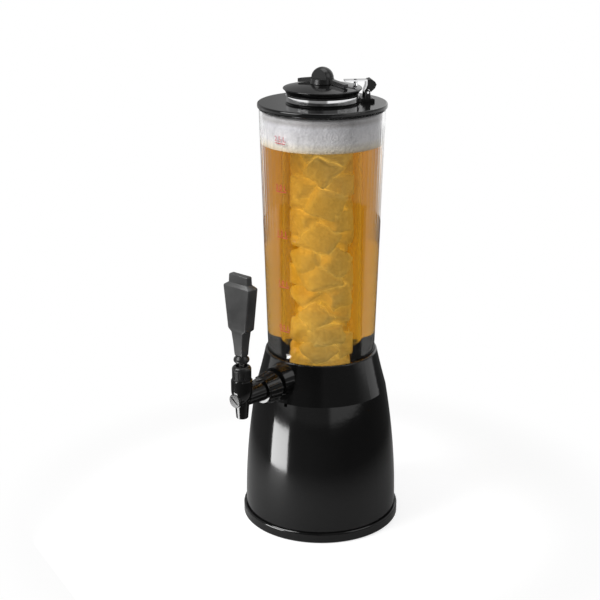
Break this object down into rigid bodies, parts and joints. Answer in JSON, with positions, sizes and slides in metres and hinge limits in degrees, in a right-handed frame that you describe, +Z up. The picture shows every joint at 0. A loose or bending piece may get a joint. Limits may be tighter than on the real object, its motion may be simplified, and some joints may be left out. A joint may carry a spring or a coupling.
{
  "type": "beer tower dispenser",
  "caption": "Free-standing drink tower: clear tapered tank with hanging ice tube, black bell base, draught tap with paddle handle and hinged filler cap.",
  "frame": {"origin": "centre of the rubber pad, on the surface the tower stands on", "axes": "+Z up the tower, -Y out along the tap, +X to the right seen from the tap side"},
  "size_m": [0.1602, 0.2056, 0.4634],
  "materials": {
    "gloss_black": "polished black moulding",
    "clear_plastic": "clear polished",
    "white_plastic": "natural white moulding",
    "chrome": "bright chrome",
    "steel": "turned stainless steel",
    "rubber": "matt black rubber"
  },
  "bodies": {
    "tower": {"base_plate": "gloss_black", "base_pad": "rubber", "plate_screws": "steel", "lower_shell": "gloss_black", "collar_screws": "steel", "collar": "gloss_black", "tank": "clear_plastic", "tank_seat_ring": "rubber", "shank": "steel", "shank_gasket_inner": "rubber", "shank_gasket_outer": "rubber", "shank_locknut": "gloss_black", "coupling_nut": "gloss_black", "coupling_gasket": "rubber", "faucet_body": "gloss_black", "front_plug": "chrome", "ball_washer": "white_plastic", "friction_washer": "rubber", "bonnet": "gloss_black"},
    "handle": {"tap_lever": "steel", "ferrule": "gloss_black", "tap_handle": "gloss_black"},
    "valve": {"valve_shaft": "steel", "seat_washer": "rubber", "shaft_nut": "steel"},
    "lid": {"lid": "gloss_black", "lid_gasket": "rubber", "neck_band": "chrome", "hinge_foot": "gloss_black", "hinge_pin": "chrome"},
    "ice_insert": {"ice_tube": "clear_plastic", "ice_tube_collar": "white_plastic"},
    "cap": {"filler_cap": "gloss_black", "cap_seal": "rubber", "cap_knob": "gloss_black", "strap": "chrome", "thumb_lever": "gloss_black", "strap_rivet": "chrome"}
  },
  "joints": [
    {"name": "handle_pull", "type": "hinge", "parent": "tower", "child": "handle", "pos_m": [0, -0.115, 0.184], "axis": [1, 0, 0], "range_deg": [0, 12.5]},
    {"name": "valve_slide", "type": "slide", "parent": "tower", "child": "valve", "axis": [0, 1, 0], "range_m": [0, 0.00525]},
    {"name": "lid_lift", "type": "slide", "parent": "tower", "child": "lid", "axis": [0, 0, 1], "range_m": [0, 0.3]},
    {"name": "ice_twist", "type": "hinge", "parent": "lid", "child": "ice_insert", "pos_m": [0, 0, 0.42], "axis": [0, 0, 1], "range_deg": [0, 90]},
    {"name": "cap_flip", "type": "hinge", "parent": "lid", "child": "cap", "pos_m": [0.02738, 0.03263, 0.4392], "axis": [-0.766, 0.6428, 0], "range_deg": [0, 60]}
  ],
  "couplings": [
    {"joint": "valve_slide", "follows": "handle_pull", "m_per_rad": 0.024}
  ]
}
